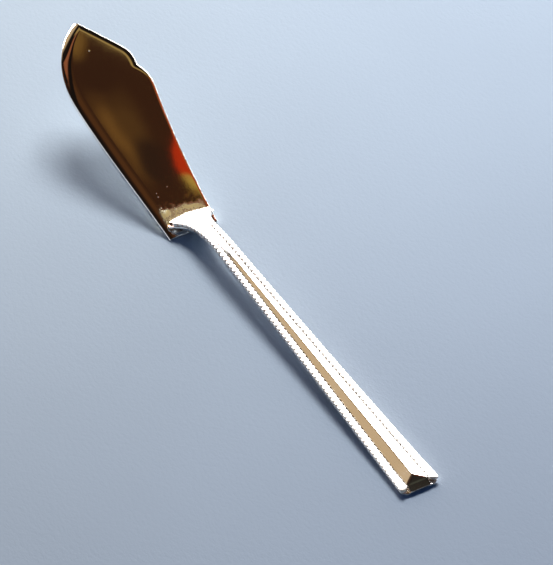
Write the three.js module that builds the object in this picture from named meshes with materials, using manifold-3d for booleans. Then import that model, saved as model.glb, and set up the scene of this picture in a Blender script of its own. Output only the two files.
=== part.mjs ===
// Butter knife with a cranked neck, a clipped mirror blade and beaded handle borders.
// Millimetres. X runs from the handle's end to the blade's tip, +Y is the belly side, +Z is up.
// The knife lies as it does on a table: on the handle's end and on the blade's heel.
import * as THREE from 'three';
import { mergeVertices } from 'three/addons/utils/BufferGeometryUtils.js';
import Module from 'manifold-3d';

// Handle, seen from above
const COLLAR_X = 109.5; // corners of the collar's front edge, measured from the handle's end
const COLLAR_HALF = 6.4;
const COLLAR_BULGE = 1.2; // how far the front edge curves out over the blade
const FRONT_SHOULDER = 1.1; // width of the plain land at each end of that front edge
const TIP_STEP = 1.0; // straight edge at each collar tip
const NECK_X = 95.5;
const NECK_HALF = 2.5;
const TAPER_RATE = 0.018; // half width gained per mm from the neck back to the end
const TAPER_CURVE = 1.15e-4;
const END_RADIUS = 2.0;
// The flare's two control points: distance behind the collar, half width beyond the neck's
const FLARE_BENDS = [[5.5, 0.1], [3.2, 0.7]];
const TAPER_STEP = 5.5; // distance between sections on the long taper

// Handle, seen from the side
const PLATE = 1.6;
const END_LAND = 7; // length of the flat that the handle's end rests on
const RISE = 0.054; // slope from that flat up to the neck
const DROP_START_X = 93;
const DROP = 3.935; // how far the neck comes down again to the collar
const DROP_POWER = 1.6;
const EDGE_EASE = 0.25;

// Relief on the handle's face
const RIDGE_ANGLE = THREE.MathUtils.degToRad(12);
const RIDGE_FADE = [84, 94]; // the ridge dies out between these two places
const HIP_LENGTH = 4.1; // the ridge ends in a sloping facet at the handle's end
const HIP_DROP = 0.6;
const CREST_SHARE = 0.2; // a section's corner beside the ridge, as a share of the slope's width
const WIDEST_CUT = 0.95; // most of the slope's width that the hip facet takes

// Beaded borders
const BEAD_PITCH = 1.5;
const BEAD_HALF_WIDTHS = [1.1, 0.72, 0.5]; // at the handle's end, at the neck, at the collar tip
const BEAD_HALF_HEIGHT = 0.55;
const BEAD_WAIST = 0.6; // radius between beads, as a share of the bead's own
const BEAD_SIDES = 8;
const BEAD_ENDS = [0.7, 1.4]; // how far the beads stop short of the handle's end and of the collar's front
const BED_DEPTH = 0.9; // depth of the step that carries the beads
const BED_FLOOR = 0.1; // metal left under that step where the collar is thin
const GAP = 0.3;

// Blade
const BLADE_PITCH = THREE.MathUtils.degToRad(20); // the blade climbs away from its heel
const BLADE_TOP_Z = 1.8; // top face at COLLAR_X
const BLADE_THICK = 1.45;
const TIP_THIN = 0.35; // how much thinner the plate is at the tip
const RIM_WIDTH = 0.9;
const RIM_DROP = 0.4;
const HEEL_X = COLLAR_X - 3;
const TONGUE_LENGTH = 6.5;
const TONGUE_HALF = 1.6;
const TONGUE_THICK = 1.0;
const TONGUE_SLOPE = 0.5;
const TONGUE_FLARE = 0.25; // how much wider each side gets, section by section, over the front half
const LAP_X = COLLAR_X - 1.3; // where the collar's underside meets the blade's top face

const FILLET_WIDTH = 0.6;
const FILLET_HEIGHT = 0.3;
const FILLET_END = 0.9; // how far it stops short of the collar's corners

// Outline of the blade in its own plane: distance from the collar, then distance from the axis.
const POINT = [62.4, -0.3];
const BELLY = [
  [[-3.2, 7.3], [12, 8.6], [26, 10.6], [40, 11]],
  [[40, 11], [49, 11.2], [57.8, 7.6], POINT],
];
const BACK = [
  [[-3.2, -6.1], [12, -6.8], [24, -8], [38, -10.5]],
  [[38, -10.5], [41, -11], [43.2, -10.2], [45.1, -9.2]],
  [[45.1, -9.2], [46.8, -9.5], [48.8, -9.7], [50.6, -8.7]],
  [[50.6, -8.7], [54.6, -6], [58.5, -3.2], POINT],
];

const { clamp, lerp, smoothstep } = THREE.MathUtils;
const wasm = await Module();
wasm.setup();

// A closed body through rings of points, each ring running anticlockwise as seen from the tip.
function loft(rings, hubs) {
  const size = rings[0].length;
  const points = [...rings.flat(), ...hubs];
  const index = [];
  for (let i = 0; i + 1 < rings.length; i++) {
    for (let j = 0; j < size; j++) {
      const a = i * size + j;
      const b = i * size + ((j + 1) % size);
      index.push(a, b, b + size, a, b + size, a + size);
    }
  }
  const last = (rings.length - 1) * size;
  for (let j = 0; j < size; j++) {
    const k = (j + 1) % size;
    index.push(points.length - 2, k, j);
    index.push(points.length - 1, last + j, last + k);
  }
  const geometry = new THREE.BufferGeometry().setFromPoints(points);
  geometry.setIndex(index);
  return geometry;
}

function toSolid(geometry) {
  const plain = geometry.clone();
  plain.deleteAttribute('normal');
  plain.deleteAttribute('uv');
  const merged = mergeVertices(plain, 1e-5);
  return new wasm.Manifold(new wasm.Mesh({
    numProp: 3,
    vertProperties: new Float32Array(merged.attributes.position.array),
    triVerts: new Uint32Array(merged.index.array),
  }));
}

function fromSolid(solid) {
  const mesh = solid.getMesh();
  const geometry = new THREE.BufferGeometry();
  geometry.setAttribute('position', new THREE.BufferAttribute(mesh.vertProperties, 3));
  geometry.setIndex(new THREE.BufferAttribute(mesh.triVerts, 1));
  return geometry;
}

// Side profile of the handle: flat at the end, a slow climb to the neck, a quick drop to the collar.
function faceZ(x) {
  const climb = RISE * Math.max(0, x - END_LAND);
  const t = Math.max(0, (x - DROP_START_X) / (COLLAR_X - DROP_START_X));
  return PLATE + climb - DROP * t ** DROP_POWER;
}

function bladeTopZ(x) {
  return BLADE_TOP_Z + (x - COLLAR_X) * Math.tan(BLADE_PITCH);
}

function undersideZ(x) {
  const plain = faceZ(x) - PLATE;
  return x > LAP_X ? Math.max(plain, bladeTopZ(x) + GAP) : plain;
}

function taperHalf(x) {
  const back = NECK_X - x;
  return NECK_HALF + TAPER_RATE * back + TAPER_CURVE * back * back;
}

function beadHalfWidth(x) {
  const [end, neck, tip] = BEAD_HALF_WIDTHS;
  if (x < NECK_X) return lerp(end, neck, Math.sqrt(x / NECK_X));
  return lerp(neck, tip, (x - NECK_X) / (COLLAR_X - NECK_X));
}

// Stations along one long edge of the handle. Each has the edge point and the inward direction.
function edgeStations() {
  const stations = [];
  const full = taperHalf(END_RADIUS);
  for (let i = 0; i < 5; i++) {
    const angle = (i / 5) * (Math.PI / 2);
    const x = END_RADIUS * (1 - Math.cos(angle));
    const y = full - END_RADIUS * (1 - Math.sin(angle));
    stations.push({ x, y, inward: new THREE.Vector2(0, -1), inner: full - bedWidth(0) });
  }
  const hipMiddle = (END_RADIUS + HIP_LENGTH) / 2;
  const taper = [END_RADIUS, hipMiddle, HIP_LENGTH, (HIP_LENGTH + END_LAND) / 2, END_LAND];
  const taperStop = NECK_X - TAPER_STEP / 2;
  for (let x = END_LAND + TAPER_STEP; x < taperStop; x += TAPER_STEP) taper.push(x);
  for (const x of taper) {
    const y = taperHalf(x);
    stations.push({ x, y, inward: new THREE.Vector2(0, -1), inner: y - bedWidth(x) });
  }
  const flare = new THREE.CubicBezierCurve(
    new THREE.Vector2(NECK_X, NECK_HALF),
    ...FLARE_BENDS.map(([behind, beyond]) => new THREE.Vector2(COLLAR_X - behind, NECK_HALF + beyond)),
    new THREE.Vector2(COLLAR_X - TIP_STEP, COLLAR_HALF),
  );
  for (let i = 0; i <= 12; i++) {
    const { x, y } = flare.getPoint(i / 12);
    const tangent = flare.getTangent(i / 12);
    const inward = new THREE.Vector2(tangent.y, -tangent.x);
    stations.push({ x, y, inward, inner: y + inward.y * bedWidth(x) });
  }
  return stations;
}

function bedWidth(x) {
  return 2 * beadHalfWidth(x) + GAP;
}

// Height of the central ridge, and the place where the hip facet cuts its two slopes.
function ridgeAt(x, inner) {
  const full = inner * Math.tan(RIDGE_ANGLE) * (1 - smoothstep(x, ...RIDGE_FADE));
  if (x >= HIP_LENGTH) return { crown: full, side: 0, cut: CREST_SHARE, cutZ: full * (1 - CREST_SHARE) };
  const hip = lerp(-HIP_DROP, full, x / HIP_LENGTH);
  const cut = clamp(1 - hip / full, CREST_SHARE, WIDEST_CUT);
  return { crown: hip, side: Math.min(0, hip), cut, cutZ: Math.min(hip, full * (1 - cut)) };
}

function handleRing({ x, inner, y, innerX, crownX }) {
  const { crown, side, cut, cutZ } = ridgeAt(x, inner);
  const xAt = (share) => lerp(crownX, innerX, share * share);
  const onFace = (share, rise) => [xAt(share), inner * share, faceZ(xAt(share)) + rise];
  const half = [
    [xAt(0.5), inner / 2, undersideZ(xAt(0.5))],
    [innerX, inner, undersideZ(innerX)],
    [x, y - EDGE_EASE, undersideZ(x)],
    [x, y, undersideZ(x) + EDGE_EASE],
    [x, y, faceZ(x) - BED_DEPTH],
    [innerX, inner, Math.max(faceZ(innerX) - BED_DEPTH, undersideZ(innerX) + BED_FLOOR)],
    onFace(1, side),
    onFace((1 + cut) / 2, (side + cutZ) / 2),
    onFace(cut, cutZ),
  ];
  const left = half.map((p) => new THREE.Vector3(...p));
  const right = half.map(([px, py, pz]) => new THREE.Vector3(px, -py, pz)).reverse();
  const crownTop = new THREE.Vector3(...onFace(0, crown));
  const keel = new THREE.Vector3(crownX, 0, undersideZ(crownX));
  return [keel, ...left, crownTop, ...right];
}

// The collar's front edge curves out over the blade: each ring's middle runs ahead of its ends.
function handleRings() {
  const rings = edgeStations().map((station) => {
    const lead = station.inward.x * bedWidth(station.x);
    const innerX = station.x + lead;
    return handleRing({ ...station, innerX, crownX: innerX + 0.5 * lead });
  });
  const inner = COLLAR_HALF - FRONT_SHOULDER;
  const innerX = COLLAR_X + COLLAR_BULGE * (1 - (inner / COLLAR_HALF) ** 2);
  const crownX = COLLAR_X + COLLAR_BULGE;
  rings.push(handleRing({ x: COLLAR_X, y: COLLAR_HALF, inner, innerX, crownX }));
  return rings;
}

function handle() {
  const rings = handleRings();
  const frontRing = rings.at(-1);
  const front = frontRing[0].clone().lerp(frontRing[frontRing.length / 2], 0.5);
  return loft(rings, [new THREE.Vector3(0, 0, PLATE / 4), front]);
}

// A beaded wire in the step along one edge: its radius swells and shrinks once for each bead.
function beadBorder(sideSign) {
  const bed = edgeStations().filter(({ x }) => x > BEAD_ENDS[0] && x < COLLAR_X - BEAD_ENDS[1]);
  const path = new THREE.CatmullRomCurve3(bed.map(({ x, y, inward }) => {
    const half = beadHalfWidth(x);
    const px = x + inward.x * half;
    const py = y + inward.y * half;
    return new THREE.Vector3(px, sideSign * py, faceZ(px) - BED_DEPTH + GAP + BEAD_HALF_HEIGHT);
  }));
  const beads = Math.round(path.getLength() / BEAD_PITCH);
  const rings = [];
  for (let i = 0; i <= 2 * beads; i++) {
    const centre = path.getPointAt(i / (2 * beads));
    const along = path.getTangentAt(i / (2 * beads));
    const across = new THREE.Vector3(-along.y, along.x, 0).normalize();
    const above = new THREE.Vector3().crossVectors(along, across);
    const swell = i % 2 ? 1 : BEAD_WAIST;
    const ring = [];
    for (let j = 0; j < BEAD_SIDES; j++) {
      const angle = ((j + 0.5) / BEAD_SIDES) * 2 * Math.PI;
      ring.push(centre.clone()
        .addScaledVector(across, Math.cos(angle) * swell * beadHalfWidth(centre.x))
        .addScaledVector(above, Math.sin(angle) * swell * BEAD_HALF_HEIGHT));
    }
    rings.push(ring);
  }
  return loft(rings, [path.getPointAt(0), path.getPointAt(1)]);
}

function outlinePoints(segments) {
  return segments.flatMap((points) => new THREE.CubicBezierCurve(
    ...points.map(([along, across]) => new THREE.Vector2(along, across)),
  ).getPoints(10));
}

function acrossAt(points, along) {
  const k = clamp(points.findIndex((p) => p.x >= along), 1, points.length - 1);
  const [a, b] = [points[k - 1], points[k]];
  return lerp(a.y, b.y, clamp((along - a.x) / (b.x - a.x || 1), 0, 1));
}

// The flat plate of the blade: a bevelled rim all round, and a small flat under the heel.
function bladePlate() {
  const belly = outlinePoints(BELLY);
  const back = outlinePoints(BACK);
  const heel = (HEEL_X - COLLAR_X) / Math.cos(BLADE_PITCH);
  const stops = [heel, heel / 2, 0];
  for (let along = 4; along <= 36; along += 4) stops.push(along);
  stops.push(38, 39.5, 41, 42.5, 44, 45.1, 46, 47.5, 49);
  stops.push(50.6, 52.5, 54.5, 56.5, 58.2, 59.6, 60.8, 61.7, 62.3);
  const rings = stops.map((along) => {
    const x = COLLAR_X + along * Math.cos(BLADE_PITCH);
    const left = acrossAt(belly, along);
    const right = acrossAt(back, along);
    const rim = Math.min(RIM_WIDTH, 0.3 * (left - right));
    const top = bladeTopZ(x);
    const thick = BLADE_THICK - TIP_THIN * Math.max(0, along / POINT[0]);
    const low = Math.max(0, top - thick / Math.cos(BLADE_PITCH));
    const drop = Math.min(RIM_DROP, 0.4 * (top - low));
    return [
      [left - rim, low], [left, low + drop], [left, top - drop], [left - rim, top],
      [right + rim, top], [right, top - drop], [right, low + drop], [right + rim, low],
    ].map(([y, z]) => new THREE.Vector3(x, y, z));
  });
  return loft(rings, [rings[0], rings.at(-1)].map(middle));
}

function middle(ring) {
  return ring.reduce((sum, p) => sum.add(p), new THREE.Vector3()).divideScalar(ring.length);
}

// The tongue that runs back from the heel under the collar, where the two pieces are brazed.
function tongue() {
  const rings = [];
  for (let i = 0; i <= 8; i++) {
    const x = lerp(HEEL_X - TONGUE_LENGTH, LAP_X, i / 8);
    const top = undersideZ(x) - GAP;
    const low = clamp((HEEL_X - x) * TONGUE_SLOPE, 0, top - TONGUE_THICK);
    const half = TONGUE_HALF + Math.max(0, i - 4) * TONGUE_FLARE;
    rings.push([[half, low], [half, top], [-half, top], [-half, low]]
      .map(([y, z]) => new THREE.Vector3(x, y, z)));
  }
  return loft(rings, [rings[0], rings.at(-1)].map(middle));
}

function blade() {
  return fromSolid(toSolid(bladePlate()).add(toSolid(tongue())));
}

// The thin line of filler in the corner between the collar's front edge and the blade.
function brazeFillet() {
  const reach = COLLAR_HALF - FILLET_END;
  const rings = [];
  for (let i = 0; i <= 16; i++) {
    const y = lerp(-reach, reach, i / 16);
    const x = COLLAR_X + COLLAR_BULGE * (1 - (y / COLLAR_HALF) ** 2) + GAP;
    const ahead = x + FILLET_WIDTH;
    rings.push([
      new THREE.Vector3(x, y, bladeTopZ(x) + GAP),
      new THREE.Vector3(x, y, bladeTopZ(x) + GAP + FILLET_HEIGHT),
      new THREE.Vector3(ahead, y, bladeTopZ(ahead) + GAP),
    ]);
  }
  return loft(rings, [rings[0], rings.at(-1)].map(middle));
}

function metal(color, roughness) {
  return new THREE.MeshStandardMaterial({ color, roughness, metalness: 1 });
}

function piece(name, geometry, material) {
  geometry.computeVertexNormals();
  const mesh = new THREE.Mesh(geometry, material);
  mesh.name = name;
  return mesh;
}

const silver = () => metal(0xe6e3dc, 0.16);

const knife = new THREE.Group();
knife.add(
  piece('blade', blade(), metal(0xd8d4ca, 0.08)),
  piece('handle', handle(), silver()),
  piece('bead_border_left', beadBorder(1), silver()),
  piece('bead_border_right', beadBorder(-1), silver()),
  piece('braze_fillet', brazeFillet(), metal(0xa9a59b, 0.4)),
);

// The origin is below the middle of the knife, on the surface that it rests on.
const box = new THREE.Box3().setFromObject(knife);
const centre = box.getCenter(new THREE.Vector3());
knife.position.set(-centre.x, -centre.y, -box.min.z);

const object = new THREE.Group();
object.add(knife);

export default object;
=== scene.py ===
"""Looks of a butter knife with a mirror blade and beaded silver borders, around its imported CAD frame.

The knife lies on its handle's end and on the blade's heel. Lengths are in millimetres unless a comment
says metres, measured as in the CAD: x from the handle's end to the tip, +y the belly side, z up.
"""

import math

import bpy
import numpy as np
from mathutils import Matrix, Vector
from mathutils.geometry import tessellate_polygon


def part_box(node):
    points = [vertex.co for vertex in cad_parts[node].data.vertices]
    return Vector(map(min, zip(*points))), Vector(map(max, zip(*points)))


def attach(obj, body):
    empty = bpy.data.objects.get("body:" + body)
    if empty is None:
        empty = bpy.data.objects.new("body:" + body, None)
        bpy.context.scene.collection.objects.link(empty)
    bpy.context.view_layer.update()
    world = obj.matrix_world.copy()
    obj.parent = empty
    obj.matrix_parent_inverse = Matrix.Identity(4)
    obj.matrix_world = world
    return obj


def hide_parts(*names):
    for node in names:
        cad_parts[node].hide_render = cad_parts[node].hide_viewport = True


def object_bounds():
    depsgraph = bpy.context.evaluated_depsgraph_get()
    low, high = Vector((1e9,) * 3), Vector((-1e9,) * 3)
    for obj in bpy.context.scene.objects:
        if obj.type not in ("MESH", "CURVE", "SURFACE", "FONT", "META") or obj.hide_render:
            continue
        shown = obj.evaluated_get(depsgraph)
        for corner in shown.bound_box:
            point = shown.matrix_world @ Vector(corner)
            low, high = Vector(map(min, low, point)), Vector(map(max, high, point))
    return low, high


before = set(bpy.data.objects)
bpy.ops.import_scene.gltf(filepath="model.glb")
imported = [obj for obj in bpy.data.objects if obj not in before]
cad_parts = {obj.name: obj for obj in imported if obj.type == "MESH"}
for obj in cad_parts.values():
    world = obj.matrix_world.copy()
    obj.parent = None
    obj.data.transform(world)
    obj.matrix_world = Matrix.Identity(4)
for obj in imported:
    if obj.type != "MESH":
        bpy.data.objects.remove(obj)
CAD_LOW, CAD_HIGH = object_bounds()
HANDLE_LOW, HANDLE_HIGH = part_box("handle")
MM = 0.001

# ---- Sizes, as in the CAD ----

# Handle, seen from above
COLLAR_BULGE = 1.2
COLLAR_X = (HANDLE_HIGH.x - HANDLE_LOW.x) / MM - COLLAR_BULGE
COLLAR_HALF = (HANDLE_HIGH.y - HANDLE_LOW.y) / 2 / MM
FRONT_SHOULDER = 1.1
TIP_STEP = 1.0
NECK_X = 95.5
NECK_HALF = 2.5
TAPER_RATE = 0.018
TAPER_CURVE = 1.15e-4
END_RADIUS = 2.0
LIP = 0.16  # radius of the eased edges at both ends
FLARE_BENDS = ((5.5, 0.1), (3.2, 0.7))

# Handle, seen from the side
PLATE = 1.6
END_LAND = 7
RISE = 0.054
DROP_START_X = 93
DROP = 3.935
DROP_POWER = 1.6

# Relief
RIDGE_SLOPE = math.tan(math.radians(12))
RIDGE_FADE = (84, 94)
FACE_SHARES = (0, 0.012, 0.03, 0.055, 0.09, 0.15, 0.25, 0.4, 0.55, 0.7, 0.82, 0.9, 0.95)  # across a facet
HIP_LENGTH = 4.1
HIP_DROP = 0.6
HIP_STOP = 6  # sections lie close together up to here
CREST = 0.16  # how soft the ridge's crest is
HIP_SOFTNESS = 0.05

# Beads
BEAD_PITCH = 1.5
BEAD_HALF_WIDTHS = (1.1, 0.72, 0.5)
BEAD_HALF_HEIGHT = 0.5
BEAD_FULLNESS = 1.12  # made this much wider, the beads close most of the gap beside them
BEAD_DROP = 0.26  # the beads' centres lie this far below the handle's face
BEAD_SQUARENESS = 0.75  # 1 makes round beads, less makes them flatter on top
BEAD_WAISTS = (0.08, 0.3)  # how far the wire narrows between beads, at the end and from the neck on
BEAD_ENDS = (0.7, 1.4)
BED_GAP = 0.3
BED_DEPTH = 0.8
RECESS_START = (1, 5)  # the step is clean at the handle's end and tarnished from here on
RIGHT_RECESS = 0.15  # how much tarnish the right-hand step keeps along the taper
RIGHT_RECESS_END = (NECK_X, NECK_X + 6)  # beyond which it keeps all of it
EDGE_INSET = 0.1  # the beads stand this far proud of the side wall

# Blade
PITCH = math.radians(20)
BLADE_TOP_Z = 1.8
BLADE_THICK = 1.45
TIP_THIN = 0.35
EDGE_THICK = 0.06  # the least thickness left at the rounded edges
HEEL_X = COLLAR_X - 3
LAP_X = COLLAR_X - 1.3
SEAM = 0.02  # clearance between the handle and the blade or its tongue
TONGUE_LENGTH = 6.5
TONGUE_HALF = 1.6
POINT = (62.4, -0.3)
BELLY = (
    ((-3.2, 7.3), (12, 8.6), (26, 10.6), (40, 11)),
    ((40, 11), (49, 11.2), (57.8, 7.6), POINT),
)
BACK = (
    ((-3.2, -6.1), (12, -6.8), (24, -8), (38, -10.5)),
    ((38, -10.5), (41, -11), (43.2, -10.2), (45.1, -9.2)),
    ((45.1, -9.2), (46.8, -9.5), (48.8, -9.7), (50.6, -8.7)),
    ((50.6, -8.7), (54.6, -6), (58.5, -3.2), POINT),
)
BELLY_RIM = (3.0, 0.12, 0.35)  # width of the bevelled rim, its slope at the edge, and the edge's radius
BELLY_TIP_RIM = (2.6, 0.5, 0.16)
BACK_RIM = (0.6, 0.08, 0.07)
CLIP_RIM = (1.6, 0.15, 0.04)
HEEL_RIM = (0.5, 0.1, 0.2)
UNDER_RADIUS = 0.3  # of the edges underneath
CLIP_START = 43
TIP_BLEND = (52.5, 61)

# Solder line
SOLDER_WIDTH = 0.75
SOLDER_HEIGHT = 0.34
SOLDER_END = 0.9
SOLDER_INSET = 0.08  # how far the fillet starts inside the collar
SOLDER_DEPTH = 0.12  # and how far its foot reaches into the blade

# ---- Camera, in metres and degrees ----

VIEW_AZIMUTH = -120.4  # 0 looks along +Y
VIEW_ELEVATION = 42
VIEW_DISTANCE = 1.4
VIEW_LENS = 365.7  # focal length and sensor width in millimetres
VIEW_SENSOR = 36
AIM = Vector((-0.0038, -0.0078, 0))


def heading(azimuth, elevation=0.0):
    """Unit vector azimuth degrees to the right of the camera's heading, and elevation degrees up."""
    turn = math.radians(VIEW_AZIMUTH - azimuth)
    lift = math.radians(elevation)
    return Vector((-math.sin(turn) * math.cos(lift), math.cos(turn) * math.cos(lift), math.sin(lift)))


def make_camera():
    """The photograph's viewpoint: a long lens from above the handle's end."""
    data = bpy.data.cameras.new("camera")
    data.lens = VIEW_LENS
    data.sensor_width = VIEW_SENSOR
    data.clip_end = 20
    camera = bpy.data.objects.new("camera", data)
    bpy.context.collection.objects.link(camera)
    turn = math.radians(VIEW_AZIMUTH)
    lift = math.radians(VIEW_ELEVATION)
    away = Vector((-math.sin(turn) * math.cos(lift), math.cos(turn) * math.cos(lift), -math.sin(lift)))
    camera.location = AIM + Vector((0, 0, CAD_LOW.z)) - away * VIEW_DISTANCE
    camera.rotation_euler = away.to_track_quat("-Z", "Y").to_euler()
    bpy.context.scene.camera = camera
    return camera


# ---- Meshes ----

SHARP_ANGLE = math.radians(50)


def place(points):
    """Puts points in millimetres of the CAD's own axes into the frame, in metres."""
    origin = np.array((HANDLE_LOW.x, (HANDLE_LOW.y + HANDLE_HIGH.y) / 2, CAD_LOW.z))
    return origin + np.asarray(points, float) * MM


def add_piece(name, points, faces, material, node):
    """Makes a smooth mesh that stands for a CAD node. Points are in millimetres."""
    mesh = bpy.data.meshes.new(name)
    mesh.from_pydata(place(points).tolist(), [], [list(map(int, face)) for face in faces])
    mesh.materials.append(material)
    mesh.shade_smooth()
    mesh.set_sharp_from_angle(angle=SHARP_ANGLE)
    piece = bpy.data.objects.new(name, mesh)
    bpy.context.collection.objects.link(piece)
    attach(piece, "root")
    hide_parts(node)
    return piece


def add_values(piece, name, values):
    """Stores one number for each point of a mesh, for its material to read."""
    attribute = piece.data.attributes.new(name, "FLOAT", "POINT")
    attribute.data.foreach_set("value", np.asarray(values, np.float32))


def smoothstep(value, low, high):
    """0 below low, 1 above high, and a smooth climb between them."""
    t = np.clip((value - low) / (high - low), 0, 1)
    return t * t * (3 - 2 * t)


def bezier(points, count):
    """Points along a Bezier curve of three or four control points."""
    t = np.linspace(0, 1, count)[:, None]
    rows = [np.array(p, float) * np.ones_like(t) for p in points]
    while len(rows) > 1:
        rows = [a * (1 - t) + b * t for a, b in zip(rows, rows[1:])]
    return rows[0]


def soften(corners, radii, steps=4):
    """Rounds the inner corners of an open polyline, each over its own length."""
    corners = [np.array(c, float) for c in corners]
    points = [corners[0]]
    for before, corner, after, radius in zip(corners, corners[1:], corners[2:], radii):
        back, ahead = before - corner, after - corner
        back_length, ahead_length = np.linalg.norm(back), np.linalg.norm(ahead)
        radius = min(radius, 0.45 * back_length, 0.45 * ahead_length)
        start = corner + back / back_length * radius
        stop = corner + ahead / ahead_length * radius
        points += list(bezier((start, corner, stop), steps + 1))
    return np.array(points + [corners[-1]])


def tube_faces(rings, size, first=0):
    """Quads between rings of points, each ring running anticlockwise as seen from its far end."""
    faces = []
    for i in range(rings - 1):
        for j in range(size):
            a = first + i * size + j
            b = first + i * size + (j + 1) % size
            faces.append((a, b, b + size, a + size))
    return faces


def cap_faces(ring, first, flip):
    """Triangles that close a ring, found in its view along x."""
    flat = [Vector((0, p[1], p[2])) for p in ring]
    faces = [tuple(first + k for k in triangle) for triangle in tessellate_polygon([flat])]
    corners = np.array([[flat[k - first] for k in face] for face in faces])
    area = np.cross(corners[:, 1] - corners[:, 0], corners[:, 2] - corners[:, 0])[:, 0].sum()
    if (area > 0) == flip:
        faces = [face[::-1] for face in faces]
    return faces


def inset(ring, reach, forward):
    """A ring pulled in by reach across x and moved by forward along x."""
    flat = ring[:, 1:]
    ahead = np.roll(flat, -1, 0) - flat
    ahead /= np.maximum(np.linalg.norm(ahead, axis=1), 1e-9)[:, None]
    turn = ahead + np.roll(ahead, 1, 0)
    turn /= np.maximum(np.linalg.norm(turn, axis=1), 1e-9)[:, None]
    inner = ring.copy()
    inner[:, 0] += forward
    inner[:, 1] -= reach * turn[:, 1]
    inner[:, 2] += reach * turn[:, 0]
    return inner


# ---- Shapes of the knife ----


def face_z(x):
    """Height of the handle's face, without its ridge: a slow climb, then the drop to the collar."""
    climb = RISE * np.maximum(0, x - END_LAND)
    t = np.maximum(0, (x - DROP_START_X) / (COLLAR_X - DROP_START_X))
    return PLATE + climb - DROP * t**DROP_POWER


def blade_top_z(x):
    """Height of the blade's flat top."""
    return BLADE_TOP_Z + (x - COLLAR_X) * math.tan(PITCH)


def underside_z(x):
    """Height of the handle's underside, which is thinned where it laps over the blade."""
    plain = face_z(x) - PLATE
    return np.where(x > LAP_X, np.maximum(plain, blade_top_z(x) + SEAM), plain)


def taper_half(x):
    """Half width of the handle from its end to its neck."""
    back = NECK_X - x
    return NECK_HALF + TAPER_RATE * back + TAPER_CURVE * back**2


def bead_half(x):
    """Half width of the beads."""
    end, neck, tip = BEAD_HALF_WIDTHS
    taper = end + (neck - end) * np.sqrt(np.clip(x / NECK_X, 0, 1))
    flare = neck + (tip - neck) * (x - NECK_X) / (COLLAR_X - NECK_X)
    return np.where(x < NECK_X, taper, flare)


def bed_width(x):
    """Width of the step that the beads lie in."""
    return 2 * bead_half(x) + BED_GAP


def edge_stations():
    """Rows of x, y, inward direction and inner half width along one long edge of the handle."""
    full = taper_half(END_RADIUS)
    angle = np.linspace(math.acos(1 - LIP / END_RADIUS), math.pi / 2, 12)[:-1]
    rows = []
    for x, y in zip(END_RADIUS * (1 - np.cos(angle)), full - END_RADIUS * (1 - np.sin(angle))):
        rows.append((x, y, 0, -1, full - bed_width(0)))
    taper = np.concatenate((
        np.arange(END_RADIUS, HIP_STOP, 0.22),
        np.arange(HIP_STOP, RIDGE_FADE[0], 1.5),
        np.arange(RIDGE_FADE[0], NECK_X, 0.6),
    ))
    for x in taper:
        rows.append((x, taper_half(x), 0, -1, taper_half(x) - bed_width(x)))
    bends = [(COLLAR_X - behind, NECK_HALF + beyond) for behind, beyond in FLARE_BENDS]
    flare = bezier(((NECK_X, NECK_HALF), *bends, (COLLAR_X - TIP_STEP, COLLAR_HALF)), 60)
    tangent = np.gradient(flare, axis=0)
    tangent /= np.linalg.norm(tangent, axis=1)[:, None]
    for (x, y), (along, across) in zip(flare, tangent):
        rows.append((x, y, across, -along, y - along * bed_width(x)))
    return np.array(rows)


def handle_section(x, inner, bed):
    """Half a cross-section from the crown out to the edge and back under to the keel.

    Rows of distance in from the edge, height, and which surface the height is measured from:
    0 for the handle's face and 1 for its underside.
    """
    fade = 1 - smoothstep(x, *RIDGE_FADE)
    reach = np.array(FACE_SHARES) * inner
    slope = RIDGE_SLOPE * fade
    facet = slope * (math.hypot(inner, CREST) - np.hypot(reach, CREST))
    crown = facet[0]
    edge_height = 0.0
    if x < HIP_LENGTH:
        hip = -HIP_DROP + (crown + HIP_DROP) * x / HIP_LENGTH
        gap = facet - hip
        facet = (facet + hip - np.sqrt(gap**2 + HIP_SOFTNESS**2)) / 2
        edge_height = (hip - math.hypot(hip, HIP_SOFTNESS)) / 2
    top = soften(
        ((bed + 0.05 * inner, facet[-1]), (bed, edge_height), (bed - 0.06, -BED_DEPTH),
         (EDGE_INSET, -BED_DEPTH), (EDGE_INSET, -BED_DEPTH - 0.3)),
        (0.1, 0.08, 0.1),
    )
    low = soften(((EDGE_INSET, 0.5), (EDGE_INSET, 0), (bed, 0)), (0.3,), 6)[1:]
    keel = [(bed + inner * s, 0) for s in (0, 0.5, 1)]
    rows = [(bed + inner - r, h, 0) for r, h in zip(reach, facet)]
    rows += [(d, h, 0) for d, h in top[1:-1]]
    rows += [(d, h, 1) for d, h in low[:-1]]
    rows += [(d, h, 1) for d, h in keel]
    return np.array(rows)


def section_recess():
    """How deep each point of a handle ring lies in the beads' step: 0 on the faces, 1 in the corner."""
    inner, bed = 2.5, 2.0
    distance, height, below = handle_section(NECK_X / 2, inner, bed).T
    inside = (below == 0) & (distance > EDGE_INSET + 0.05) & (distance <= bed + 0.01)
    half = smoothstep(-height, 0.1, BED_DEPTH) * inside
    return np.concatenate((half[::-1], half[1:-1]))


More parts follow.
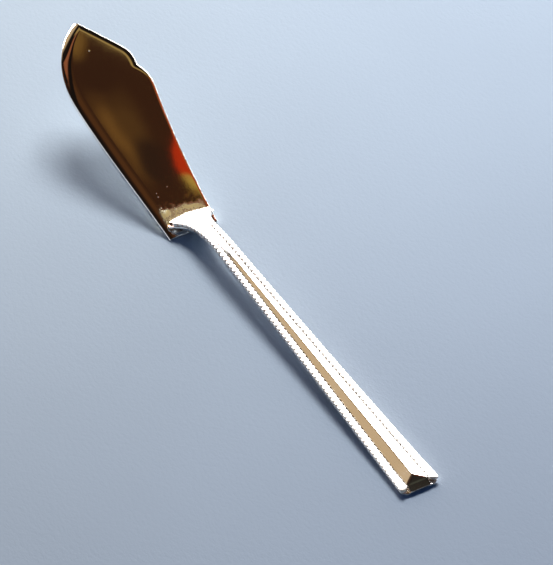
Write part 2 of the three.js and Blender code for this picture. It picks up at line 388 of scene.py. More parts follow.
def handle_ring(x, y, inward_x, inward_y, inner, inner_x=None, crown_x=None):
    """One closed ring of the handle, anticlockwise as seen from the blade's tip."""
    bed = (y - inner) / -inward_y
    if inner_x is None:
        inner_x = x + inward_x * bed
        crown_x = inner_x + 0.5 * inward_x * bed
    distance, height, below = handle_section(x, inner, bed).T
    share = np.clip(1 - (distance - bed) / inner, 0, 1)
    edge_share = np.clip(distance / bed, 0, 1)
    outside = x + (inner_x - x) * edge_share
    px = np.where(distance < bed, outside, crown_x + (inner_x - crown_x) * share**2)
    py = np.where(distance < bed, y + (inner - y) * edge_share, inner * share)
    pz = np.where(below > 0, underside_z(px) + height, face_z(px) + height)
    half = np.stack((px, py, pz), 1)
    mirrored = half[1:-1] * (1, -1, 1)
    return np.concatenate((half[::-1], mirrored))


def handle_rings():
    """All rings from the handle's end to the collar, and the last one on the collar's curved front."""
    rings = [handle_ring(*station) for station in edge_stations()]
    inner = COLLAR_HALF - FRONT_SHOULDER
    inner_x = COLLAR_X + COLLAR_BULGE * (1 - (inner / COLLAR_HALF) ** 2)
    front = handle_ring(COLLAR_X, COLLAR_HALF, 0, -1, inner, inner_x, COLLAR_X + COLLAR_BULGE)
    last = rings[-1]
    rings += [last * (1 - t) + front * t for t in (0.25, 0.5, 0.75)]
    return rings, front


def handle_piece(material):
    """The handle with its eased ends, and how much tarnish each point may hold."""
    rings, front = handle_rings()
    turns = np.linspace(0, math.pi / 2, 5)
    start = [inset(rings[0], LIP * (1 - math.cos(a)), -LIP * math.sin(a)) for a in turns[:0:-1]]
    stop = [inset(front, LIP * (1 - math.cos(a)), LIP * (math.sin(a) - 1)) for a in turns]
    rings = start + rings + stop
    size = len(rings[0])
    points = np.concatenate(rings)
    faces = tube_faces(len(rings), size)
    faces += cap_faces(rings[0], 0, True)
    faces += cap_faces(rings[-1], (len(rings) - 1) * size, False)
    piece = add_piece("silver_handle", points, faces, material, "handle")
    recess = np.tile(section_recess(), len(rings)) * smoothstep(points[:, 0], *RECESS_START)
    right_taper = (points[:, 1] < 0) * (1 - smoothstep(points[:, 0], *RIGHT_RECESS_END))
    add_values(piece, "recess", recess * (1 - (1 - RIGHT_RECESS) * right_taper))
    return piece


def bead_path(side):
    """Centres of the beads' wire, in the step along one edge."""
    x, y, inward_x, inward_y, _ = edge_stations().T
    keep = (x > BEAD_ENDS[0]) & (x < COLLAR_X - BEAD_ENDS[1])
    x, y, inward_x, inward_y = x[keep], y[keep], inward_x[keep], inward_y[keep]
    half = bead_half(x)
    px = x + inward_x * half
    py = y + inward_y * half
    return np.stack((px, side * py, face_z(px) - BEAD_DROP), 1)


def bead_border(name, side, material, node):
    """A beaded wire: its flattened section swells and shrinks once for each bead."""
    path = bead_path(side)
    length = np.concatenate(((0,), np.cumsum(np.linalg.norm(np.diff(path, axis=0), axis=1))))
    beads = round(length[-1] / BEAD_PITCH)
    pitch = length[-1] / beads
    within = np.sin(np.linspace(-math.pi / 2, math.pi / 2, 13))
    sides = 20
    angle = np.linspace(0, 2 * math.pi, sides, endpoint=False)
    section_y = np.sign(np.cos(angle)) * np.abs(np.cos(angle)) ** BEAD_SQUARENESS
    section_z = np.sign(np.sin(angle)) * np.abs(np.sin(angle)) ** BEAD_SQUARENESS
    rings = []
    recess = []
    for bead in range(beads):
        for t in within[:-1] if bead < beads - 1 else within:
            at = (bead + (t + 1) / 2) * pitch
            centre = np.array([np.interp(at, length, path[:, k]) for k in range(3)])
            ahead = np.array([np.interp(at + 0.2, length, path[:, k]) for k in range(3)])
            behind = np.array([np.interp(at - 0.2, length, path[:, k]) for k in range(3)])
            along = (ahead - behind) / np.linalg.norm(ahead - behind)
            across = np.cross((0, 0, 1), along)
            across /= np.linalg.norm(across)
            above = np.cross(along, across)
            waist = float(np.interp(centre[0], (0, NECK_X), BEAD_WAISTS))
            outer = (bead == 0 and t < 0) or (bead == beads - 1 and t > 0)
            swell = max(0.12, math.sqrt(1 - t * t)) if outer else 1 - waist * abs(t) ** 2.2
            width = float(bead_half(centre[0])) * BEAD_FULLNESS * swell
            height = BEAD_HALF_HEIGHT * swell
            ring = np.outer(section_y * width, across) + np.outer(section_z * height, above)
            rings.append(centre + ring)
            notch = 0 if outer else waist / BEAD_WAISTS[1] * float(smoothstep(abs(t), 0.7, 1))
            recess.append(0.7 * notch + 0.5 * (np.sin(angle) < -0.2))
    points = np.concatenate(rings + [rings[0].mean(0)[None], rings[-1].mean(0)[None]])
    faces = tube_faces(len(rings), sides)
    last = (len(rings) - 1) * sides
    for j in range(sides):
        k = (j + 1) % sides
        faces.append((len(points) - 2, k, j))
        faces.append((len(points) - 1, last + j, last + k))
    piece = add_piece(name, points, faces, material, node)
    add_values(piece, "recess", np.clip(np.concatenate(recess + [(0, 0)]), 0, 1))
    return piece


def outline(curves, count=160):
    """A long edge of the blade from the heel to the tip, in the blade's own plane."""
    parts = [bezier(curve, count) for curve in curves]
    return np.concatenate([parts[0]] + [part[1:] for part in parts[1:]])


def distance_to(points, line):
    """Shortest distance from each point to a polyline, in two dimensions."""
    start = line[:-1]
    step = np.diff(line, axis=0)
    size = (step**2).sum(1)
    best = np.full(len(points), 1e9)
    for first in range(0, len(points), 4000):
        block = points[first:first + 4000, None] - start
        t = np.clip((block * step).sum(2) / size, 0, 1)
        best[first:first + 4000] = np.sqrt(((block - t[..., None] * step) ** 2).sum(2).min(1))
    return best


def rounded(distance, radius):
    """How far a quarter round has fallen at a distance in from the edge."""
    t = np.clip(1 - distance / radius, 0, 1)
    return radius * (1 - np.sqrt(1 - t * t))


def rim(distance, width, slope, radius):
    """How far a rim that steepens to slope and ends in a quarter round has fallen."""
    return slope * width / 2 * np.clip(1 - distance / width, 0, 1) ** 2 + rounded(distance, radius)


def blade_plate():
    """Points and faces of the blade's plate, in the CAD's axes: a top grid, then a bottom grid."""
    belly = outline(BELLY)
    back = outline(BACK)
    heel = (HEEL_X - COLLAR_X) / math.cos(PITCH)
    # Rows lie closer together at the heel's edge and towards the tip, and columns towards the edges.
    along = np.concatenate((
        heel + np.array((0, 0.03, 0.1, 0.22, 0.4)),
        np.arange(heel + 0.7, 40, 0.5),
        np.arange(40, 58, 0.22),
        POINT[0] - (4.4 * np.linspace(1, 0, 36)[:-1] ** 1.5) - 0.004,
    ))
    left = np.interp(along, belly[:, 0], belly[:, 1])
    right = np.interp(along, back[:, 0], back[:, 1])
    w = np.linspace(-1, 1, 67)
    v = np.sign(w) * (1 - (1 - np.abs(w)) ** 1.9)
    across = (left + right)[:, None] / 2 + (left - right)[:, None] / 2 * v
    flat = np.stack((np.repeat(along, len(v)), across.ravel()), 1)
    to_belly = distance_to(flat, belly)
    to_back = distance_to(flat, back)
    to_heel = flat[:, 0] - heel
    clip = smoothstep(flat[:, 0], CLIP_START - 3, CLIP_START + 3)
    back_rim = [low + (high - low) * clip for low, high in zip(BACK_RIM, CLIP_RIM)]
    nose = smoothstep(flat[:, 0], *TIP_BLEND)
    belly_rim = [low + (high - low) * nose for low, high in zip(BELLY_RIM, BELLY_TIP_RIM)]
    falls = (rim(to_belly, *belly_rim), rim(to_back, *back_rim), rim(to_heel, *HEEL_RIM))
    top = -np.maximum.reduce(falls)
    rises = [rounded(distance, UNDER_RADIUS) for distance in (to_belly, to_back, to_heel)]
    thick = BLADE_THICK - TIP_THIN * np.clip(flat[:, 0] / POINT[0], 0, 1)
    bottom = np.minimum(-thick + np.maximum.reduce(rises), top - EDGE_THICK)
    points = np.concatenate((in_blade(flat, top), in_blade(flat, bottom)))
    points[:, 2] = np.maximum(points[:, 2], 0)
    return points, plate_faces(len(along), len(v))


def plate_faces(rows, columns):
    """Quads of a plate whose top grid is followed by an equal bottom grid."""
    under = rows * columns
    faces = []
    for i in range(rows - 1):
        for j in range(columns - 1):
            a = i * columns + j
            faces.append((a, a + columns, a + columns + 1, a + 1))
            faces.append((under + a, under + a + 1, under + a + columns + 1, under + a + columns))
        a = i * columns
        b = a + columns - 1
        faces.append((a, under + a, under + a + columns, a + columns))
        faces.append((b, b + columns, under + b + columns, under + b))
    for j in range(columns - 1):
        a = (rows - 1) * columns + j
        faces.append((j, j + 1, under + j + 1, under + j))
        faces.append((a, under + a, under + a + 1, a + 1))
    return faces


def in_blade(flat, height):
    """Points of the blade's plane in the CAD's axes, moved straight up to lie height above it."""
    x = COLLAR_X + flat[:, 0] * math.cos(PITCH)
    z = BLADE_TOP_Z + flat[:, 0] * math.sin(PITCH) + height / math.cos(PITCH)
    return np.stack((x, flat[:, 1], z), 1)


def tongue(first):
    """The bevelled tongue that runs back from the heel under the neck."""
    rings = []
    for t in np.linspace(0, 1, 25):
        x = HEEL_X - TONGUE_LENGTH + t * (LAP_X - HEEL_X + TONGUE_LENGTH)
        top = float(underside_z(np.array(x))) - SEAM
        low = min(max((HEEL_X - x) * 0.5, 0), top - 1.0)
        half = TONGUE_HALF + max(0, t - 0.5) * 2
        corner = soften(((0, low), (half, low), (half, top), (0, top)), (0.3, 0.15), 4)
        side = np.stack((np.full(len(corner), x), corner[:, 0], corner[:, 1]), 1)
        rings.append(np.concatenate((side, side[-2:0:-1] * (1, -1, 1))))
    size = len(rings[0])
    faces = tube_faces(len(rings), size, first)
    faces += cap_faces(rings[0], first, True)
    faces += cap_faces(rings[-1], first + (len(rings) - 1) * size, False)
    return np.concatenate(rings), faces


def blade_piece(material):
    """The blade's plate and the tongue behind it."""
    points, faces = blade_plate()
    tongue_points, tongue_faces = tongue(len(points))
    points = np.concatenate((points, tongue_points))
    return add_piece("mirror_blade", points, faces + tongue_faces, material, "blade")


def solder_piece(material):
    """The thin uneven fillet of solder between the collar's front edge and the blade."""
    reach = COLLAR_HALF - SOLDER_END
    rings = []
    for y in np.linspace(-reach, reach, 121):
        uneven = 1 + 0.12 * math.sin(2.1 * y + 0.6)
        uneven += 0.08 * math.sin(5.3 * y) + 0.05 * math.sin(11.7 * y + 2)
        ends = min(1, (reach - abs(y)) / 0.8 + 0.15)
        width = SOLDER_WIDTH * uneven * ends
        height = SOLDER_HEIGHT * (2 - uneven) * ends
        x = COLLAR_X + COLLAR_BULGE * (1 - (y / COLLAR_HALF) ** 2) - SOLDER_INSET
        curve = bezier(((0, height), (0.25 * width, 0.12 * height), (width, 0)), 9)
        section = np.concatenate((((0, -SOLDER_DEPTH), (width, -SOLDER_DEPTH)), curve[::-1]))
        px = x + section[:, 0]
        rings.append(np.stack((px, np.full(len(px), y), blade_top_z(px) + section[:, 1]), 1))
    size = len(rings[0])
    points = np.concatenate(rings)
    faces = [face[::-1] for face in tube_faces(len(rings), size)]
    faces.append(tuple(range(size)))
    faces.append(tuple(range(len(points) - size, len(points)))[::-1])
    return add_piece("solder_fillet", points, faces, material, "braze_fillet")


# ---- Materials ----


class Nodes:
    """Short forms for building one node tree."""

    def __init__(self, tree):
        self.tree = tree
        tree.nodes.clear()

    def add(self, kind, inputs=(), **settings):
        node = self.tree.nodes.new(kind)
        for name, value in settings.items():
            setattr(node, name, value)
        for name, value in dict(inputs).items():
            self.feed(node.inputs[name], value)
        return node

    def feed(self, socket, value):
        if isinstance(value, bpy.types.NodeSocket):
            self.tree.links.new(value, socket)
        else:
            socket.default_value = value

    def math(self, operation, a, b):
        return self.add("ShaderNodeMath", {0: a, 1: b}, operation=operation).outputs[0]

    def vector(self, operation, a, b, output="Vector"):
        return self.add("ShaderNodeVectorMath", {0: a, 1: b}, operation=operation).outputs[output]

    def product(self, first, *others):
        for other in others:
            first = self.math("MULTIPLY", first, other)
        return first

    def mix(self, factor, a, b):
        """Colour a where factor is 0 and colour b where it is 1."""
        node = self.add("ShaderNodeMix", data_type="RGBA")
        self.feed(node.inputs["Factor"], factor)
        # The node has a socket A, B and Result for each data type: these are the ones for colours.
        self.feed(node.inputs[6], a)
        self.feed(node.inputs[7], b)
        return node.outputs[2]

    def noise(self, vector, scale, detail=2.0, roughness=0.5):
        inputs = {"Vector": vector, "Scale": scale, "Detail": detail, "Roughness": roughness}
        return self.add("ShaderNodeTexNoise", inputs).outputs["Fac"]

    def ramp(self, value, low, high, start=0.0, stop=1.0):
        """Smooth step of value from low to high."""
        inputs = {"Value": value, "From Min": low, "From Max": high, "To Min": start, "To Max": stop}
        return self.add("ShaderNodeMapRange", inputs, interpolation_type="SMOOTHSTEP").outputs["Result"]

    def scaled(self, vector, scale, rotation=(0, 0, 0)):
        inputs = {"Vector": vector, "Scale": scale, "Rotation": rotation}
        return self.add("ShaderNodeMapping", inputs).outputs["Vector"]

    def object_place(self):
        return self.add("ShaderNodeTexCoord").outputs["Object"]

    def blob(self, vector, centre, size, turn=0.0, soft=0.5):
        """1 inside an ellipse of half sizes size about centre, falling softly to 0 outside it."""
        moved = self.vector("SUBTRACT", vector, (*centre, 0))
        turned = self.scaled(moved, (1, 1, 0), (0, 0, math.radians(-turn)))
        shrunk = self.scaled(turned, (1 / size[0], 1 / size[1], 0))
        radius = self.add("ShaderNodeVectorMath", {0: shrunk}, operation="LENGTH").outputs["Value"]
        return self.ramp(radius, 1 + soft, 1 - soft)

    def past(self, vector, point, degrees):
        """How far vector lies past a line through point, along the direction that degrees gives."""
        ahead = (math.cos(math.radians(degrees)), math.sin(math.radians(degrees)), 0)
        moved = self.vector("SUBTRACT", vector, (*point, 0))
        return self.vector("DOT_PRODUCT", moved, ahead, "Value")

    def bump(self, height, strength, distance, normal=None):
        node = self.add("ShaderNodeBump", {"Height": height, "Strength": strength, "Distance": distance})
        if normal is not None:
            self.feed(node.inputs["Normal"], normal)
        return node.outputs["Normal"]


def metal_material(name, colour, build):
    """A metal. build(nodes, place) returns its colour, roughness, normal and how metallic it is."""
    material = bpy.data.materials.new(name)
    material.use_nodes = True
    material.diffuse_color = (*colour, 1)
    nodes = Nodes(material.node_tree)
    shader = nodes.add("ShaderNodeBsdfPrincipled")
    base, roughness, normal, metallic = build(nodes, nodes.object_place())
    nodes.feed(shader.inputs["Base Color"], base)
    nodes.feed(shader.inputs["Roughness"], roughness)
    nodes.feed(shader.inputs["Normal"], normal)
    nodes.feed(shader.inputs["Metallic"], metallic)
    output = nodes.add("ShaderNodeOutputMaterial")
    nodes.feed(output.inputs["Surface"], shader.outputs["BSDF"])
    return material


def hairlines(nodes, place, along, across, rotation=0.0):
    """Fine straight polishing lines. along and across are lines per unit of place."""
    stretched = nodes.scaled(place, (along, across, across), (0, 0, math.radians(rotation)))
    return nodes.noise(stretched, 1.0, 3.0, 0.6)


SILVER = (0.93, 0.905, 0.865)
WORN_SILVER = (0.8, 0.7, 0.5)
TARNISH = (0.46, 0.2, 0.13)
SILVER_ROUGHNESS = 0.07
LEFT_BEAD_ROUGHNESS = 0.36
RIGHT_BEAD_ROUGHNESS = 0.58
MIRROR = (0.9, 0.875, 0.84)
SOLDER = (0.74, 0.71, 0.64)
SOLDER_SHADE = (0.55, 0.5, 0.42)

# Polish that has dried beside the collar, and a painted glint near the tip, in the blade's millimetres
RESIDUE = (0.84, 0.72, 0.34)
# The crust's colour, also used for the painted glint near the tip.
CRUST_AND_GLINT = (0.6, 0.56, 0.42)
BAND_FADE = (5.7, 3.5)  # from nothing to full, along the blade
VEIL_FADE = (9, 4.5)
COLLAR_FADE = (-1.6, 0.4)
BELLY_FADE = (7.0, 5.6)  # and across it
BACK_FADE = (-6.2, -5.2)
BAND_SLANT = -0.15
CRUST_CORNER = (4.5, 5.0)
CRUST_CORNER_SIZE = (0.9, 0.9)
# Single residue specks by centre and radius; the first, near the tip, is a painted glint, not residue.
SPECKS_AND_GLINT = (((53.1, 0.2), 0.26), ((8.6, 4.3), 0.2), ((9.7, 4.2), 0.16), ((10.4, 0.8), 0.14))
SPECK_AND_GLINT_STRENGTH = 0.4


def silver_parts(nodes, place, polish=SILVER_ROUGHNESS):
    """Polished silver that has yellowed a little and is dark in its corners."""
    recess = nodes.add("ShaderNodeAttribute", attribute_name="recess").outputs["Fac"]
    cloud = nodes.noise(place, 55, 4)
    stain = nodes.ramp(cloud, 0.52, 0.72)
    scratches = hairlines(nodes, place, 60, 5200)
    cross = hairlines(nodes, place, 90, 3800, 24)
    worn = nodes.mix(nodes.math("MULTIPLY", stain, 0.18), (*SILVER, 1), (*WORN_SILVER, 1))
    grime = nodes.math("MULTIPLY", recess, nodes.ramp(cloud, 0.2, 0.7, 0.45, 0.95))
    base = nodes.mix(grime, worn, (*TARNISH, 1))
    marks = nodes.math("ADD", scratches, nodes.math("MULTIPLY", cross, 0.5))
    fine = nodes.ramp(marks, 0.5, 1.1, polish, polish + 0.06)
    dull = nodes.math("ADD", fine, nodes.math("MULTIPLY", stain, 0.04))
    roughness = nodes.math("ADD", dull, nodes.math("MULTIPLY", recess, 0.2))
    smooth = nodes.bump(nodes.noise(place, 140, 1), 0.1, 0.0002)
    lined = nodes.bump(nodes.math("ADD", scratches, cross), 0.05, 0.00005, smooth)
    return base, roughness, lined, 1.0


def left_bead_parts(nodes, place):
    """The same silver, less polished, as on worn beads."""
    return silver_parts(nodes, place, LEFT_BEAD_ROUGHNESS)


def right_bead_parts(nodes, place):
    """Silver of the beads on the back's side, which are worn duller."""
    return silver_parts(nodes, place, RIGHT_BEAD_ROUGHNESS)


def blade_place(nodes, place):
    """Millimetres of the blade's plane, along it from the collar and across, from object coordinates."""
    collar_x = HANDLE_LOW.x + COLLAR_X * MM
    axis_y = (HANDLE_LOW.y + HANDLE_HIGH.y) / 2
    moved = nodes.vector("SUBTRACT", place, (collar_x, axis_y, 0))
    return nodes.scaled(moved, (1 / MM / math.cos(PITCH), 1 / MM, 1 / MM))


def residue_and_glint_parts(nodes, flat):
    """Where polish has dried beside the collar: a haze, and a crust of flecks and single specks, the
    first of which is a painted glint near the tip.
    """
    parts = nodes.add("ShaderNodeSeparateXYZ", {0: flat}).outputs
    along, across = parts["X"], parts["Y"]
    cloud = nodes.noise(flat, 0.55, 4, 0.6)
    grain = nodes.noise(flat, 1.7, 6, 0.72)
    uneven = nodes.math("MULTIPLY", nodes.math("SUBTRACT", nodes.noise(flat, 0.7, 3), 0.5), 4)
    slanted = nodes.math("ADD", nodes.math("MULTIPLY", across, BAND_SLANT), uneven)
    edge = nodes.math("ADD", along, slanted)
    beyond_collar = nodes.ramp(along, *COLLAR_FADE)
    inside_edges = nodes.product(nodes.ramp(across, *BELLY_FADE), nodes.ramp(across, *BACK_FADE))
    band = nodes.product(nodes.ramp(edge, *BAND_FADE), inside_edges, beyond_collar)
    thin = nodes.ramp(cloud, 0.45, 0.7, 0, 0.3)
    veil = nodes.product(nodes.ramp(edge, *VEIL_FADE), thin, beyond_collar)
    thick = nodes.ramp(cloud, 0.25, 0.65, 0.75, 1)
    haze = nodes.math("MAXIMUM", nodes.product(band, thick), veil)
    corner = nodes.blob(flat, CRUST_CORNER, CRUST_CORNER_SIZE, 0, 0.9)
    corner = nodes.product(corner, nodes.ramp(grain, 0.5, 0.62))
    toward_belly = nodes.ramp(across, -3, 5, 0.05, 0.8)
    flecks = nodes.product(band, toward_belly, nodes.ramp(grain, 0.57, 0.7))
    crust_and_glint = nodes.math("MAXIMUM", corner, flecks)
    # The first speck is a painted glint: a light dab where a highlight falls on the mirror.
    for centre, radius in SPECKS_AND_GLINT:
        speck_or_glint = nodes.product(nodes.blob(flat, centre, (radius, radius)), SPECK_AND_GLINT_STRENGTH)
        crust_and_glint = nodes.math("MAXIMUM", crust_and_glint, speck_or_glint)
    return haze, crust_and_glint


def mirror_parts(nodes, place):
    """Mirror polish with fine lines along it, dried residue beside the collar, and a painted glint near
    the tip.
    """
    flat = blade_place(nodes, place)
    haze, crust_and_glint = residue_and_glint_parts(nodes, flat)
    lines = hairlines(nodes, flat, 0.04, 4, 3)
    tint = nodes.mix(haze, (*MIRROR, 1), (*RESIDUE, 1))
    base = nodes.mix(crust_and_glint, tint, (*CRUST_AND_GLINT, 1))
    polished = nodes.ramp(lines, 0.4, 0.8, 0.03, 0.055)
    dulled = nodes.math("ADD", nodes.math("MULTIPLY", haze, 0.28), nodes.math("MULTIPLY", crust_and_glint, 0.3))
    roughness = nodes.math("ADD", polished, dulled)
    wave = nodes.bump(nodes.noise(flat, 0.07, 1), 0.1, 0.0003)
    lined = nodes.bump(lines, 0.02, 0.00003, wave)
    rough = nodes.bump(crust_and_glint, 0.25, 0.00006, lined)
    metallic = nodes.ramp(crust_and_glint, 0.1, 0.8, 1, 0.1)
    return base, roughness, rough, metallic


def solder_parts(nodes, place):
    """Dull grey solder with a grainy skin."""
    grain = nodes.noise(place, 2600, 4, 0.6)
    cloud = nodes.noise(place, 500, 3)
    base = nodes.mix(nodes.ramp(cloud, 0.35, 0.7), (*SOLDER, 1), (*SOLDER_SHADE, 1))
    roughness = nodes.ramp(grain, 0.3, 0.7, 0.4, 0.6)
    return base, roughness, nodes.bump(grain, 0.35, 0.00008), 1.0


# ---- Room, in metres and degrees ----

PAPER = (0.51, 0.6, 0.68)
PAPER_BLOTCH = 0.03  # how much lighter and darker the paper's soft blotches are
PAPER_REACH = 0.1  # distance either side of the frame's origin over which the painted shade changes the paper's tone
# Painted shade: the paper is darkened towards the camera, and darkened and tinted bluer to the right,
# where the light falls off.
PAPER_NEAR_PAINTED_SHADE = (0.86, 0.86, 0.88)
PAPER_RIGHT_PAINTED_SHADE = (0.94, 0.97, 1.03)
FLOOR_SIDE = 3.0
LIGHT_COLOUR = (1.0, 0.985, 0.97)
WINDOW_SIZE = (1.72, 0.95)
WINDOW_CENTRE = (-0.04, 0.9, 0.495)  # right of, beyond and above the aim point
WINDOW_POWER = 92
KEY_SIZE = (0.36, 0.27)
KEY_CENTRE = (0.04, 0.5, 0.55)
KEY_POWER = 5.95
CARD_HEIGHT = 0.25  # above the blade's plane


def paper_material():
    """Pale blue card with a fine felt-like grain, and painted shade: darker towards the camera, and
    darker and bluer to the right.
    """
    material = bpy.data.materials.new("pale_paper")
    material.use_nodes = True
    nodes = Nodes(material.node_tree)
    place = nodes.object_place()
    broad = nodes.noise(place, 9, 3)
    grain = nodes.noise(place, 1500, 4, 0.65)
    pits = nodes.noise(nodes.scaled(place, (1, 1.6, 1), (0, 0, 0.5)), 620, 3, 0.6)
    dark, light = ([part * tone for part in PAPER] for tone in (1 - PAPER_BLOTCH, 1 + PAPER_BLOTCH))
    base = nodes.mix(nodes.ramp(broad, 0.3, 0.7), (*dark, 1), (*light, 1))
    # Painted shade: darkens the paper towards the camera and to the right, in place of the light's
    # falloff.
    for toward, tone in ((-heading(0), PAPER_NEAR_PAINTED_SHADE), (heading(90), PAPER_RIGHT_PAINTED_SHADE)):
        moved = nodes.vector("DOT_PRODUCT", place, toward, "Value")
        share = nodes.ramp(moved, -PAPER_REACH, PAPER_REACH)
        base = nodes.vector("MULTIPLY", base, nodes.mix(share, (1, 1, 1, 1), (*tone, 1)))
    inputs = {"Roughness": 0.7, "Specular IOR Level": 0.1, "Base Color": base}
    shader = nodes.add("ShaderNodeBsdfPrincipled", inputs)
    coarse = nodes.bump(pits, 0.26, 0.0003)
    nodes.feed(shader.inputs["Normal"], nodes.bump(grain, 0.3, 0.0001, coarse))
    output = nodes.add("ShaderNodeOutputMaterial")
    nodes.feed(output.inputs["Surface"], shader.outputs["BSDF"])
    return material


def make_floor():
    """A wide sheet of the pale card under the knife."""
    half = FLOOR_SIDE / 2
    mesh = bpy.data.meshes.new("floor")
    corners = [(-half, -half, 0), (half, -half, 0), (half, half, 0), (-half, half, 0)]
    mesh.from_pydata(corners, [], [(0, 1, 2, 3)])
    mesh.materials.append(paper_material())
    floor = bpy.data.objects.new("floor", mesh)
    floor.location.z = CAD_LOW.z
    bpy.context.collection.objects.link(floor)


def make_light(name, size, centre, power, leaning=False):
    """A soft light beyond the knife, upright or leaning to face it. It isn't seen by the camera."""
    right, away, height = centre
    data = bpy.data.lights.new(name, "AREA")
    data.shape = "RECTANGLE"
    data.size, data.size_y = size
    data.energy = power
    data.color = LIGHT_COLOUR
    light = bpy.data.objects.new(name, data)
    bpy.context.collection.objects.link(light)
    light.location = AIM + heading(90) * right + heading(0) * away + Vector((0, 0, CAD_LOW.z + height))
    facing = AIM - light.location if leaning else -heading(0)
    light.rotation_euler = facing.to_track_quat("-Z", "Y").to_euler()
    light.visible_camera = False
    return light


def make_lights():
    """A wide window that only the metal mirrors, and a soft key light for matt surfaces."""
    window = make_light("window", WINDOW_SIZE, WINDOW_CENTRE, WINDOW_POWER)
    window.visible_diffuse = False
    key = make_light("key", KEY_SIZE, KEY_CENTRE, KEY_POWER, leaning=True)
    key.visible_glossy = False


# Soft patches of the room that the metal mirrors: azimuth and elevation, half angle, colour.
ROOM_BASE = (0.012, 0.008, 0.006)
ROOM_PATCHES = (
    (55, 67, 8, (0.07, 0.075, 0.055)),
    (-31, 47, 9, (0.5, 0.37, 0.36)),
    (-30, 56, 14, (0.56, 0.40, 0.23)),
    (-78, 58, 11, (0.3, 0.09, 0.04)),
    (-42, 12, 20, (1.6, 1.55, 1.5)),
    (180, 30, 70, (0.05, 0.05, 0.06)),
    (-103, 5, 20, (1.3, 1.33, 1.4)),
    (110, 20, 45, (0.1, 0.09, 0.09)),
)
ROOM_FILL = (0.006, 0.03, 0.09)
BACKDROP = (0.6, 0.68, 0.76)


def make_room():
    """World light: a dark warm room for reflections, an even fill for matt surfaces, a pale backdrop."""
    world = bpy.data.worlds.new("room")
    bpy.context.scene.world = world
    world.use_nodes = True
    nodes = Nodes(world.node_tree)
    direction = nodes.add("ShaderNodeTexCoord").outputs["Generated"]
    colour = (*ROOM_BASE, 1)
    for azimuth, elevation, half_angle, patch in ROOM_PATCHES:
        toward = nodes.vector("DOT_PRODUCT", direction, heading(azimuth, elevation), "Value")
        inside = nodes.ramp(toward, math.cos(math.radians(half_angle)), 1.0)
        colour = nodes.mix(inside, colour, (*patch, 1))
    path = nodes.add("ShaderNodeLightPath")
    colour = nodes.mix(path.outputs["Is Diffuse Ray"], colour, (*ROOM_FILL, 1))
    colour = nodes.mix(path.outputs["Is Camera Ray"], colour, (*BACKDROP, 1))
    background = nodes.add("ShaderNodeBackground", {"Color": colour})
    output = nodes.add("ShaderNodeOutputWorld")
    nodes.feed(output.inputs["Surface"], background.outputs["Background"])


# What the blade mirrors: patches on a card above it. A place on the card is the place on the blade, in
# millimetres, where the camera sees it mirrored. Centre, half sizes, turn in degrees, softness, colour.
CARD_BASE = (0.038, 0.0145, 0.0065)
CARD_DARK = (0.009, 0.006, 0.0045)
CARD_PATCHES = (
    ((30, 4.4), (14, 3.0), 0, 0.6, (0.14, 0.064, 0.015)),
    ((31, 0.5), (11, 3), 0, 0.7, (0.075, 0.034, 0.010)),
    ((18, 0.2), (7, 4.0), 0, 0.5, (0.028, 0.013, 0.007)),
    ((46, 2), (8, 7), 0, 0.6, (0.036, 0.014, 0.0065)),
    ((57.0, 2.4), (4.4, 3.0), -20, 0.5, (0.16, 0.08, 0.018)),
    ((30, 14), (60, 2.2), 0, 0.5, (0.05, 0.02, 0.007)),
    ((25, 31), (60, 12), 0, 0.5, (0.072, 0.028, 0.0095)),
    ((5.2, -7.2), (4.0, 1.0), 0, 0.4, (0.3, 0.16, 0.05)),
)
CARD_GOLD = (0.32, 0.21, 0.065)
CARD_RED = (0.42, 0.028, 0.006)
CARD_OLIVE = (0.4, 0.25, 0.045)
CARD_RUST = (0.42, 0.1, 0.035)
CARD_EMBER = (0.26, 0.085, 0.035)
CARD_WOBBLE = 1.6
# It stays out of what the handle's facets mirror.
CARD_CORNERS = ((-45, -42, 0), (105, -42, 0), (105, 45, 0), (50, 45, 0), (50, 70, 0), (-45, 70, 0))


def make_card(camera):
    """A card above the blade, seen only in its reflection, as a ceiling is."""
    origin = Vector(place((COLLAR_X, 0, BLADE_TOP_Z)))
    normal = Vector((-math.sin(PITCH), 0, math.cos(PITCH)))
    depth = (camera.location - origin).dot(normal)
    mirrored = camera.location - 2 * depth * normal
    spread = 1 + CARD_HEIGHT / depth
    along = Vector((math.cos(PITCH), 0, math.sin(PITCH)))
    turn = Matrix((along, (0, 1, 0), normal)).transposed().to_4x4()
    mesh = bpy.data.meshes.new("ceiling_card")
    corners = [Vector(corner) * MM for corner in CARD_CORNERS]
    mesh.from_pydata(corners, [], [tuple(range(len(corners)))])
    card = bpy.data.objects.new("ceiling_card", mesh)
    bpy.context.collection.objects.link(card)
    centre = mirrored + (origin - mirrored) * spread
    card.matrix_world = Matrix.Translation(centre) @ turn @ Matrix.Scale(spread, 4)
    mesh.materials.append(card_material())
    card.visible_camera = card.visible_diffuse = card.visible_shadow = False


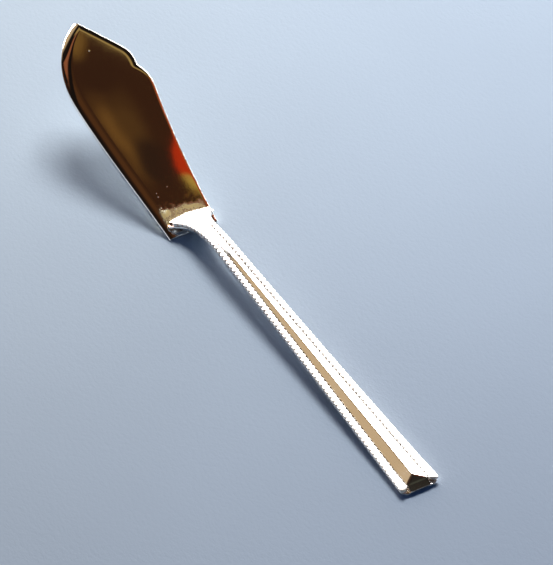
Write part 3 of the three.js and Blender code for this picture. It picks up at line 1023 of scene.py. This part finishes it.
def card_material():
    """Soft warm patches, with the darker and brighter strips that the blade's rims mirror."""
    material = bpy.data.materials.new("ceiling_glow")
    material.use_nodes = True
    nodes = Nodes(material.node_tree)
    place = nodes.scaled(nodes.object_place(), (1 / MM, 1 / MM, 1))
    noise = nodes.add("ShaderNodeTexNoise", {"Vector": place, "Scale": 0.12, "Detail": 2.0})
    shift = nodes.vector("SUBTRACT", noise.outputs["Color"], (0.5, 0.5, 0.5))
    wobbly = nodes.vector("ADD", place, nodes.vector("MULTIPLY", shift, (CARD_WOBBLE, CARD_WOBBLE, 0)))
    colour = (*CARD_BASE, 1)
    for centre, size, turn, soft, patch in CARD_PATCHES:
        colour = nodes.mix(nodes.blob(wobbly, centre, size, turn, soft), colour, (*patch, 1))
    tip = nodes.past(wobbly, (58.5, 6.5), 30)
    clip = nodes.past(wobbly, (56.5, -4.5), -54.5)
    beside_belly = nodes.past(wobbly, (30, 50), 90)
    beside_back = nodes.past(wobbly, (30, -13), -90)
    before_clip = nodes.past(wobbly, (46, 0), 180)
    strips = (
        (nodes.ramp(tip, -1.8, 0.4), CARD_DARK),
        (nodes.product(nodes.ramp(tip, 8, 15), nodes.ramp(tip, 34, 24)), CARD_EMBER),
        (nodes.ramp(beside_belly, -12, 6), CARD_DARK),
        (nodes.product(nodes.ramp(clip, -1.4, -0.2), nodes.ramp(clip, 26, 14)), CARD_GOLD),
        (nodes.ramp(clip, 18, 28), CARD_DARK),
        (nodes.product(nodes.ramp(beside_back, 0, 3), nodes.ramp(before_clip, 0, 4)), CARD_RUST),
    )
    for share, strip in strips:
        colour = nodes.mix(share, colour, (*strip, 1))
    parting = nodes.ramp(nodes.past(wobbly, (11.5, -5.3), -27), -0.4, 0.4)
    flag = nodes.mix(parting, (*CARD_OLIVE, 1), (*CARD_RED, 1))
    colour = nodes.mix(nodes.blob(wobbly, (14.5, -8.7), (9.3, 4.9), -12, 0.1), colour, flag)
    glow = nodes.add("ShaderNodeEmission", {"Color": colour})
    output = nodes.add("ShaderNodeOutputMaterial")
    nodes.feed(output.inputs["Surface"], glow.outputs["Emission"])
    return material


# ---- Scene ----

camera = make_camera()
make_floor()
make_lights()
make_room()
make_card(camera)

handle_piece(metal_material("polished_silver", SILVER, silver_parts))
for side_name, side, parts in (("left", 1, left_bead_parts), ("right", -1, right_bead_parts)):
    beads = metal_material(f"bead_silver_{side_name}", SILVER, parts)
    bead_border(f"beads_{side_name}", side, beads, f"bead_border_{side_name}")
blade_piece(metal_material("mirror_blade", MIRROR, mirror_parts))
solder_piece(metal_material("grey_solder", SOLDER, solder_parts))

view = bpy.context.scene.view_settings
view.view_transform = "Standard"
view.look = "None"
